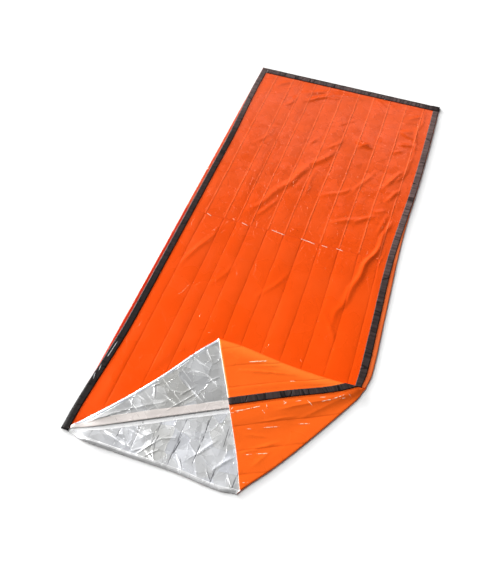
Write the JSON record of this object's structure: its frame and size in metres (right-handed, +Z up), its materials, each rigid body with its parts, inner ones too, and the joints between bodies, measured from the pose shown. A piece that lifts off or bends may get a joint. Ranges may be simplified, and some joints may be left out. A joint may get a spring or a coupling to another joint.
{
  "type": "emergency sleeping bag",
  "caption": "Flat film sleeping bag, orange outside and silver inside, taped along its seams, lying empty with one mouth corner opened and squashed flat.",
  "frame": {"origin": "middle of the base of the bag's box, on the surface it lies on", "axes": "+X across the bag to the side whose corner is turned, +Y from the mouth to the foot, +Z up through the layers"},
  "size_m": [0.9214, 2.156, 0.0128],
  "materials": {
    "silver_lined_film": "orange outside, crinkled mirror-like silver inside",
    "orange_film": "thin glossy film with packing creases",
    "seam_tape": "satin black with fine cross ribs"
  },
  "bodies": {
    "root": {"back_panel": "silver_lined_film", "front_panel": "orange_film", "tape_left": "seam_tape", "tape_right": "seam_tape", "tape_foot": "seam_tape"}
  },
  "joints": []
}
